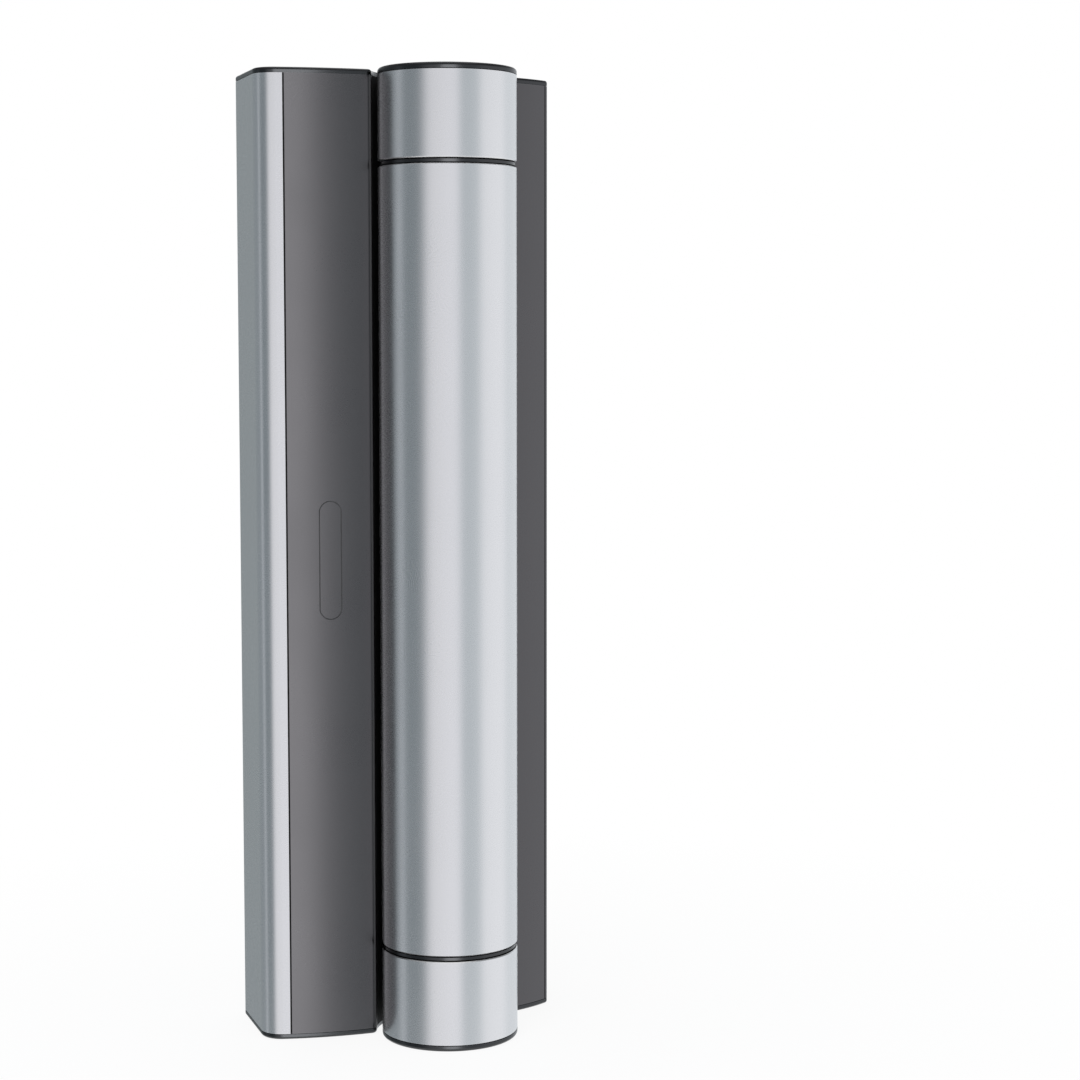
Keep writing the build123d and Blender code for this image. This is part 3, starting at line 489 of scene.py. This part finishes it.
def grain(tree, size, detail=grain_detail, stretch=(1, 1, 1)):
    """Noise with features about size metres across, longer along an axis where stretch is over 1."""
    mapping = put(tree, "ShaderNodeMapping", {"Scale": [1 / (size * s) for s in stretch]})
    texture = put(tree, "ShaderNodeTexNoise", {"Scale": 1.0, "Detail": detail})
    join(tree, place_on_object(tree), mapping.inputs["Vector"])
    join(tree, mapping.outputs[0], texture.inputs["Vector"])
    return texture.outputs["Fac"]


def stripes(tree, axis, period):
    """A wave from 0 to 1 along an axis, with the given period in metres."""
    wave = put(tree, "ShaderNodeTexWave", {"Scale": metre_wave / period}, bands_direction=axis)
    join(tree, place_on_object(tree), wave.inputs["Vector"])
    return wave.outputs["Fac"]


def cells(tree, scale, unevenness, distance="EUCLIDEAN"):
    """Distance to the nearest of scattered points, in cells."""
    values = {"Scale": scale, "Randomness": unevenness}
    texture = put(tree, "ShaderNodeTexVoronoi", values, distance=distance)
    join(tree, place_on_object(tree), texture.inputs["Vector"])
    return texture.outputs["Distance"]


def edges(tree):
    """1 along sharp edges, falling to 0 a little way from them."""
    soft = put(tree, "ShaderNodeBevel", {"Radius": edge_mask_radius}, samples=edge_mask_samples)
    agreement = reckon_vector(tree, "DOT_PRODUCT", soft.outputs[0], surface_normal(tree))
    return spread(tree, agreement, 0.0, 1.0, flat_agreement, edge_agreement)


def above(tree, measure, level):
    """0 below a level in metres and 1 above it."""
    return spread(tree, measure, 0.0, 1.0, level - zone_edge, level)


def band(tree, centre, low, high):
    """1 where the distance in metres from an upright axis lies between two values."""
    away = reckon_vector(tree, "LENGTH", level_from(tree, centre))
    past = reckon(tree, "GREATER_THAN", away, low)
    short = reckon(tree, "LESS_THAN", away, high)
    return reckon(tree, "MULTIPLY", past, short)


def in_seam(tree):
    """1 in the post leaf's seam, from the housing's edge to the cover's, and in front only: where shade is
    painted.
    """
    place = measures(tree)
    past = reckon(tree, "GREATER_THAN", place["X"], seam_low)
    short = reckon(tree, "LESS_THAN", place["X"], seam_high)
    front = reckon(tree, "LESS_THAN", place["Y"], seam_reach)
    return reckon(tree, "MULTIPLY", reckon(tree, "MULTIPLY", past, short), front)


def crown_normal(tree, centre):
    """The mesh's own normal, made exact where it nearly points away from an upright axis."""
    exact = reckon_vector(tree, "NORMALIZE", level_from(tree, centre))
    settings = {"vector_type": "NORMAL", "convert_from": "OBJECT", "convert_to": "WORLD"}
    turned = put(tree, "ShaderNodeVectorTransform", **settings)
    join(tree, exact, turned.inputs[0])
    own = surface_normal(tree)
    agreement = reckon_vector(tree, "DOT_PRODUCT", turned.outputs[0], own)
    near = reckon(tree, "GREATER_THAN", agreement, crown_limit)
    return blend(tree, near, own, turned.outputs[0], "VECTOR")


def shader_of(made):
    return made.node_tree.nodes["Principled BSDF"]


def source_of(shader, name):
    """What feeds an input of the shader."""
    return shader.inputs[name].links[0].from_socket


def paint_shade(made, mask, colour):
    """A matt dark layer of painted shade over a metal where the mask is 1, beside any such layer that it has
    already.
    """
    tree = made.node_tree
    shader = shader_of(made)
    plain = source_of(shader, "Base Color")
    rough = source_of(shader, "Roughness")
    join(tree, blend(tree, mask, plain, colour), shader.inputs["Base Color"])
    metal = spread(tree, mask, 1.0, 0.0, 0.0, 1.0)
    if shader.inputs["Metallic"].is_linked:
        metal = reckon(tree, "MINIMUM", metal, source_of(shader, "Metallic"))
    join(tree, metal, shader.inputs["Metallic"])
    matt = spread(tree, mask, 0.0, shade_roughness, 0.0, 1.0)
    join(tree, reckon(tree, "MAXIMUM", rough, matt), shader.inputs["Roughness"])


def relief(tree, shader, heights, depth):
    """Bump of the given depth in metres from a height of 0 to 1, on top of any bump already there."""
    bump = put(tree, "ShaderNodeBump", {"Distance": depth, "Strength": 1.0})
    join(tree, heights, bump.inputs["Height"])
    if shader.inputs["Normal"].is_linked:
        join(tree, source_of(shader, "Normal"), bump.inputs["Normal"])
    join(tree, bump.outputs[0], shader.inputs["Normal"])


def add_lines(made, period, depth, tone):
    """Sunk lines round the Z axis in another tone."""
    tree = made.node_tree
    shader = shader_of(made)
    lines = stripes(tree, "Z", period)
    lined = blend(tree, lines, tone, source_of(shader, "Base Color"))
    join(tree, lined, shader.inputs["Base Color"])
    relief(tree, shader, lines, depth)


def finish_of(name, colour, speck, rough, play, size, depth, edge, metallic=1.0, stretch=(1, 1, 1)):
    """A satin surface: fine grain in colour, roughness and height, broad clouding, lighter edges that are
    partly wear and partly a painted highlight.

    The speck and the play are how far colour and roughness vary, the size and the depth are the grain's
    in metres, and the edge is how much of the lighter tone shows along edges, partly wear and partly painted
    highlight.
    """
    made = bpy.data.materials.new(name)
    made.use_nodes = True
    tree = made.node_tree
    shader = shader_of(made)
    shader.inputs["Metallic"].default_value = metallic
    fine = grain(tree, size, stretch=stretch)
    broad = grain(tree, cloud_size, cloud_detail)
    dark = tuple(c * (1 - speck) for c in colour)
    light = tuple(c * (1 + speck) for c in colour)
    specked = blend(tree, spread(tree, fine, 0, 1), dark, light)
    # Lighter along edges: partly wear, partly a painted highlight.
    worn_and_lit = spread(tree, edges(tree), 0.0, edge, 0.0, 1.0)
    bright = tuple(min(1.0, c * wear_and_highlight_gain + wear_and_highlight_lift) for c in colour)
    join(tree, blend(tree, worn_and_lit, specked, bright), shader.inputs["Base Color"])
    near = spread(tree, fine, rough - play, rough + play)
    wide = spread(tree, broad, -play, play)
    join(tree, reckon(tree, "ADD", near, wide), shader.inputs["Roughness"])
    relief(tree, shader, fine, depth)
    return made


# Finishes


def clear_aluminium():
    """Satin aluminium, with painted shade: black on the hollow wall that stands round the barrel."""
    colour = (0.77, 0.775, 0.785)
    made = finish_of(
        "clear_aluminium", colour, speck=0.02, rough=0.27, play=0.02, size=0.00025, depth=0.0000015, edge=0.6
    )
    # Painted shade: the hollow wall round the barrel is coloured black, where the gap lies in shadow.
    paint_shade(made, band(made.node_tree, barrel_axis, barrel_skin, hollow_wall), black)
    return made


def seam_shaded_housing():
    """The post housing's aluminium, with painted shade: black also in the seam beside the dark cover."""
    made = clear_aluminium()
    made.name = "seam_shaded_housing"
    # Painted shade: the seam is coloured black.
    paint_shade(made, in_seam(made.node_tree), black)
    return made


def dark_aluminium():
    return finish_of(
        "dark_aluminium", dark_grey, speck=0.04, rough=0.30, play=0.02, size=0.0003, depth=0.000002, edge=0.12
    )


def groove_shaded_cover():
    """The post cover's dark aluminium, evenly curved, with painted shade: darker in its groove and black in
    the seam.
    """
    made = dark_aluminium()
    made.name = "groove_shaded_cover"
    tree = made.node_tree
    # Painted shade: the groove's floor is coloured a darker grey.
    paint_shade(made, band(tree, cover_axis, *capsule_floor), groove_shade_grey)
    # Painted shade: the seam is coloured black.
    paint_shade(made, in_seam(tree), black)
    bump = source_of(shader_of(made), "Normal").node
    join(tree, crown_normal(tree, cover_axis), bump.inputs["Normal"])
    return made


def dark_caps():
    """Dark satin plastic, shaded as a dark metal for its clear reflections."""
    colour = (0.062, 0.064, 0.067)
    return finish_of(
        "dark_caps", colour, speck=0.05, rough=0.24, play=0.03, size=0.0003, depth=0.000002, edge=0.15
    )


def ring_plastic():
    """Dark satin rim, shaded like the caps, with painted shade: black in the grooves above and below it."""
    colour = (0.062, 0.063, 0.066)
    made = finish_of(
        "ring_plastic", colour, speck=0.05, rough=0.24, play=0.03, size=0.0003, depth=0.000002, edge=0.15
    )
    # Painted shade: the grooves above and below the rim are coloured black.
    paint_shade(made, band(made.node_tree, barrel_axis, 0.0, ring_core), black)
    return made


def screw_steel():
    """Bright steel, with painted shade: dull and dark down in the sockets of the heads."""
    colour = (0.5, 0.5, 0.51)
    made = finish_of(
        "screw_steel", colour, speck=0.05, rough=0.28, play=0.05, size=0.0003, depth=0.000004, edge=0.6
    )
    sunk = put(made.node_tree, "ShaderNodeAttribute", attribute_name=socket_mark)
    # Painted shade: the socket's floor is coloured dark, fading up its walls.
    paint_shade(made, sunk.outputs["Fac"], socket_shade_grey)
    return made


def gear_steel():
    """Ground steel, with its grain drawn out along the teeth."""
    colour = (0.44, 0.44, 0.45)
    along_teeth = (1, 1, 8)
    return finish_of(
        "gear_steel", colour, speck=0.06, rough=0.26, play=0.06, size=0.00025, depth=0.000005, edge=0.7,
        stretch=along_teeth,
    )


def bronze():
    colour = (0.62, 0.40, 0.20)
    return finish_of(
        "bronze", colour, speck=0.06, rough=0.32, play=0.05, size=0.0004, depth=0.000006, edge=0.5
    )


def cast_parts():
    colour = (0.42, 0.43, 0.44)
    return finish_of(
        "cast_parts", colour, speck=0.07, rough=0.45, play=0.05, size=0.0006, depth=0.00003, edge=0.5
    )


def motor_steel():
    colour = (0.33, 0.33, 0.34)
    return finish_of(
        "motor_steel", colour, speck=0.05, rough=0.33, play=0.05, size=0.0004, depth=0.000006, edge=0.6
    )


def copper():
    """Enamelled wire, wound in turns round the axis."""
    colour = (0.72, 0.34, 0.16)
    made = finish_of(
        "copper", colour, speck=0.1, rough=0.28, play=0.04, size=0.0006, depth=0.00002, edge=0.2
    )
    add_lines(made, *wire_lines)
    return made


def laminations():
    """Stacked steel sheets of the stator."""
    colour = (0.34, 0.34, 0.35)
    made = finish_of(
        "laminations", colour, speck=0.05, rough=0.36, play=0.05, size=0.0004, depth=0.000006, edge=0.5
    )
    add_lines(made, *sheet_lines)
    return made


def magnet():
    colour = (0.36, 0.36, 0.38)
    return finish_of(
        "magnet", colour, speck=0.04, rough=0.22, play=0.04, size=0.0004, depth=0.000003, edge=0.5
    )


def circuit_board():
    """Solder mask over fine tracks, with bare tinned pads."""
    colour = (0.015, 0.09, 0.04)
    made = finish_of(
        "circuit_board", colour, speck=0.2, rough=0.33, play=0.05, size=0.0012, depth=0.00001, edge=0.3,
        metallic=0.0,
    )
    tree = made.node_tree
    shader = shader_of(made)
    track = spread(tree, cells(tree, *track_cells, "MANHATTAN"), 0.0, 1.0, *track_limits)
    pad = spread(tree, cells(tree, *pad_cells), 1.0, 0.0, *pad_limits)
    tracked = blend(tree, track, source_of(shader, "Base Color"), track_green)
    join(tree, blend(tree, pad, tracked, pad_tin), shader.inputs["Base Color"])
    join(tree, pad, shader.inputs["Metallic"])
    relief(tree, shader, track, track_height)
    return made


def board_plastic():
    colour = (0.03, 0.03, 0.032)
    return finish_of(
        "board_plastic", colour, speck=0.15, rough=0.42, play=0.05, size=0.0005, depth=0.00001, edge=0.3,
        metallic=0.0,
    )


def board_components():
    """Black finned heat sink below, sleeved capacitors in the middle, pale relays above."""
    colour = (0.035, 0.035, 0.037)
    made = finish_of(
        "board_components", colour, speck=0.15, rough=0.4, play=0.05, size=0.0005, depth=0.00001, edge=0.3,
        metallic=0.0,
    )
    tree = made.node_tree
    shader = shader_of(made)
    place = measures(tree)
    capacitor = blend(tree, above(tree, place["Y"], lid_end), lid_metal, sleeve_blue)
    lower = source_of(shader, "Base Color")
    middle = blend(tree, above(tree, place["Z"], sleeve_start), lower, capacitor)
    whole = blend(tree, above(tree, place["Z"], relay_start), middle, relay_white)
    join(tree, whole, shader.inputs["Base Color"])
    return made


def lead_rubber():
    colour = (0.02, 0.02, 0.021)
    return finish_of(
        "lead_rubber", colour, speck=0.15, rough=0.5, play=0.06, size=0.0005, depth=0.00001, edge=0.2,
        metallic=0.0,
    )


makers = [
    clear_aluminium, dark_aluminium, dark_caps, ring_plastic, screw_steel, gear_steel, bronze,
    cast_parts, motor_steel, copper, magnet, circuit_board, board_plastic, lead_rubber,
    seam_shaded_housing, groove_shaded_cover, laminations, board_components,
]
own_finish = {
    "post_housing": "seam_shaded_housing",
    "post_cover": "groove_shaded_cover",
    "stator": "laminations",
    "board_parts": "board_components",
}


def dress_nodes(made):
    """Every CAD node gets the material of the record's slot that it belongs to, or its own."""
    for part in frame["record"]["subparts"]:
        piece = frame["nodes"][part["node"]]
        piece.data.materials.clear()
        piece.data.materials.append(made[own_finish.get(part["node"], part["material_slot"])])


# Screws, with their sockets and threads


def hexagon_radius(flats, angle):
    """Distance from a hexagon's centre to its outline."""
    return flats / 2 / math.cos(angle % (math.pi / 3) - math.pi / 6)


def screw_rings(size, length, sunk):
    """Rings from the socket's floor over the head to the tip: each the radius by angle, and the height."""
    soft = size * soft_share
    pitch = thread_pitch[size]
    deep = pitch * thread_depth_share
    core = size / 2 - skin_play
    head = size if sunk else size * cap_head_share
    rim = head - rim_inset * soft if sunk else head
    top = 0.0 if sunk else size
    neck = -size / 2 if sunk else 0.0
    flats = size * flats_share
    start = neck - short_shank if length < long_screw else -length * long_shank_share

    def even(radius):
        return lambda angle: radius

    def hexagon(across):
        return lambda angle: hexagon_radius(across, angle)

    def thread(along):
        fade = min(1.0, (start - along) / pitch)

        def radius_at(angle):
            phase = (along / pitch + angle / (2 * math.pi)) % 1
            return core - fade * deep * (1 - abs(2 * phase - 1))

        return radius_at

    rings = [
        (hexagon(flats), top - size / socket_divisor),
        (hexagon(flats), top - soft),
        (hexagon(flats + 2 * soft), top),
        (even(rim - soft), top),
        (even(rim - head_play), top - soft),
    ]
    if not sunk:
        rings.append((even(head - head_play), skin_play))
    rings.append((even(core), neck))
    rings.append((even(core), start))
    along = start - pitch / rings_a_turn
    while along > pitch - length:
        rings.append((thread(along), along))
        along -= pitch / rings_a_turn
    rings.append((even(core - deep), tip_start * pitch - length))
    rings.append((even(core - tip_taper * deep), skin_play - length))
    return rings


def add_screw(shape, place, outward, size, length, sunk):
    """A screw whose head faces outward: the place is a sunk head's top, or else the head's seat."""
    axis = Vector(outward)
    side = axis.orthogonal().normalized()
    up = axis.cross(side)
    mark = shape.verts.layers.float[socket_mark]
    sides = range(screw_sides)

    def corner(angle, radius, along):
        reach = side * (radius / 1000 * math.cos(angle)) + up * (radius / 1000 * math.sin(angle))
        return shape.verts.new(Vector(place) / 1000 + reach + axis * (along / 1000))

    def close(ring, along):
        middle = corner(0.0, 0.0, along)
        for number in sides:
            shape.faces.new((ring[number], ring[(number + 1) % screw_sides], middle))
        return middle

    turns = [2 * math.pi * number / screw_sides for number in sides]
    outline = screw_rings(size, length, sunk)
    rings = [[corner(turn, radius_at(turn), along) for turn in turns] for radius_at, along in outline]
    for first, second in zip(rings, rings[1:]):
        for number in sides:
            after = (number + 1) % screw_sides
            shape.faces.new((first[number], first[after], second[after], second[number]))
    floor_middle = close(rings[0], outline[0][1] - socket_tip_share * size)
    # The socket's floor is marked for painted shade, which fades up the walls.
    for dark in [*rings[0], floor_middle]:
        dark[mark] = 1.0
    close(rings[-1], outline[-1][1])


def make_screws(made):
    """All screws of the part, in place of the plain ones."""
    for node, size, length, sunk, outward, places in screw_table:
        shape = bmesh.new()
        shape.verts.layers.float.new(socket_mark)
        for place in places:
            direction = outward or ((0, 0, 1) if place[2] > middle_height else (0, 0, -1))
            add_screw(shape, place, direction, size, length, sunk)
        bmesh.ops.recalc_face_normals(shape, faces=shape.faces)
        for face in shape.faces:
            face.smooth = True
        mesh = bpy.data.meshes.new("shaped_" + node)
        shape.to_mesh(mesh)
        shape.free()
        mesh.set_sharp_from_angle(angle=crease_angle)
        screws = add_object("shaped_" + node, mesh)
        mesh.materials.append(made["screw_steel"])
        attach(screws, "gate_side" if node in gate_screws else "post_side")
        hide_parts(node)


bpy.context.scene.view_settings.view_transform = "Standard"
make_camera()
make_floor()
make_world()
make_panels()
make_lamps()
finishes = {maker.__name__: maker() for maker in makers}
dress_nodes(finishes)
make_screws(finishes)
